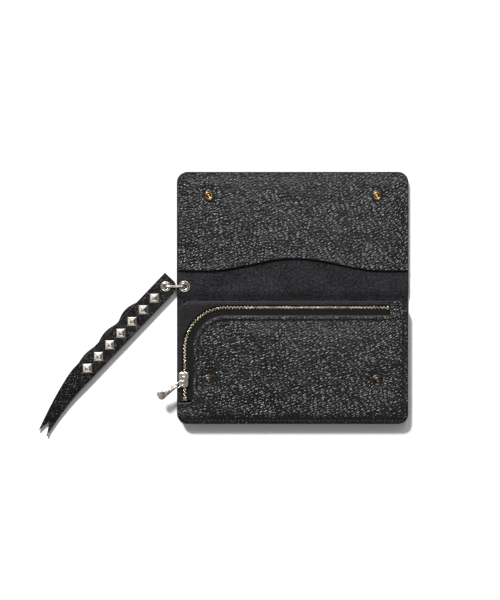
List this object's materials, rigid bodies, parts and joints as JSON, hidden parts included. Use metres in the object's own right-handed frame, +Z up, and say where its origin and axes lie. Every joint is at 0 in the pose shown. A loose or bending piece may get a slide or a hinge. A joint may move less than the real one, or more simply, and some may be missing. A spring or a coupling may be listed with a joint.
{
  "type": "chain wallet",
  "caption": "Long folding leather wallet lying open: curved-zip pouch, snap-down flap with a wavy pocket, and a pyramid-studded lanyard on an oval link at the spine.",
  "frame": {"origin": "middle of the wallet's width, on the resting plane under the outer cover, 3.4 mm below the lower crease", "axes": "+X along the fold towards the side away from the lanyard, +Y towards the open flap's free edge, +Z up out of the open wallet"},
  "size_m": [0.3099, 0.2217, 0.0148],
  "materials": {
    "leather": "pebbled, satin",
    "strap_leather": "smooth, satin",
    "suede": "flesh side, matt nap",
    "lining": "woven",
    "zip_tape": "herringbone weave",
    "zip_metal": "pale polished",
    "nickel": "polished, warm nickel",
    "aged_brass": "dark antique"
  },
  "bodies": {
    "pouch": {"cover_lower_panel": "leather", "pouch_back_panel": "leather", "pouch_side_wall": "leather", "pouch_inner_divider": "lining", "pouch_front_panel": "leather", "pouch_zip_surround": "leather", "zip_tape_outer": "zip_tape", "zip_tape_inner": "zip_tape", "zip_teeth_outer": "zip_metal", "zip_teeth_inner": "zip_metal", "zip_bottom_stop": "zip_metal", "zip_top_stop": "zip_metal", "snap_stud_left": "aged_brass", "snap_stud_right": "aged_brass", "snap_stud_back_left": "aged_brass", "snap_stud_back_right": "aged_brass"},
    "spine": {"cover_spine_panel": "suede", "wallet_eyelet": "nickel"},
    "flap": {"cover_flap_panel": "suede", "flap_pocket_panel": "leather", "snap_socket_left": "aged_brass", "snap_socket_right": "aged_brass", "snap_cap_left": "nickel", "snap_cap_right": "nickel"},
    "slider": {"zip_slider": "nickel"},
    "pull": {"zip_pull_link": "nickel", "zip_pull_tab": "nickel"},
    "link": {"lanyard_link": "nickel"},
    "strap": {"lanyard_strap": "strap_leather", "lanyard_under_strap": "strap_leather", "lanyard_eyelet": "nickel", "pyramid_stud_1": "nickel", "pyramid_stud_2": "nickel", "pyramid_stud_3": "nickel", "pyramid_stud_4": "nickel", "pyramid_stud_5": "nickel", "pyramid_stud_6": "nickel", "pyramid_stud_7": "nickel"}
  },
  "joints": [
    {"name": "pouch_fold", "type": "hinge", "parent": "spine", "child": "pouch", "pos_m": [0, 0.0034, 0.0026], "axis": [-1, 0, 0], "range_deg": [0, 90]},
    {"name": "flap_fold", "type": "hinge", "parent": "spine", "child": "flap", "pos_m": [0, 0.0174, 0.0048], "axis": [1, 0, 0], "range_deg": [0, 90]},
    {"name": "slider_slide", "type": "slide", "parent": "pouch", "child": "slider", "axis": [0, 1, 0], "range_m": [0, 0.022]},
    {"name": "pull_swing", "type": "hinge", "parent": "slider", "child": "pull", "pos_m": [-0.0916, -0.0692, 0.0139], "axis": [0.515, -0.8572, 0], "range_deg": [-110, 0]},
    {"name": "link_swing", "type": "hinge", "parent": "spine", "child": "link", "pos_m": [-0.0905, 0.0104, 0.0037], "axis": [0, 0, 1], "range_deg": [-12, 12]},
    {"name": "strap_swing", "type": "hinge", "parent": "link", "child": "strap", "pos_m": [-0.1063, 0.0104, 0.0037], "axis": [0, 0, 1], "range_deg": [-25, 20]}
  ]
}
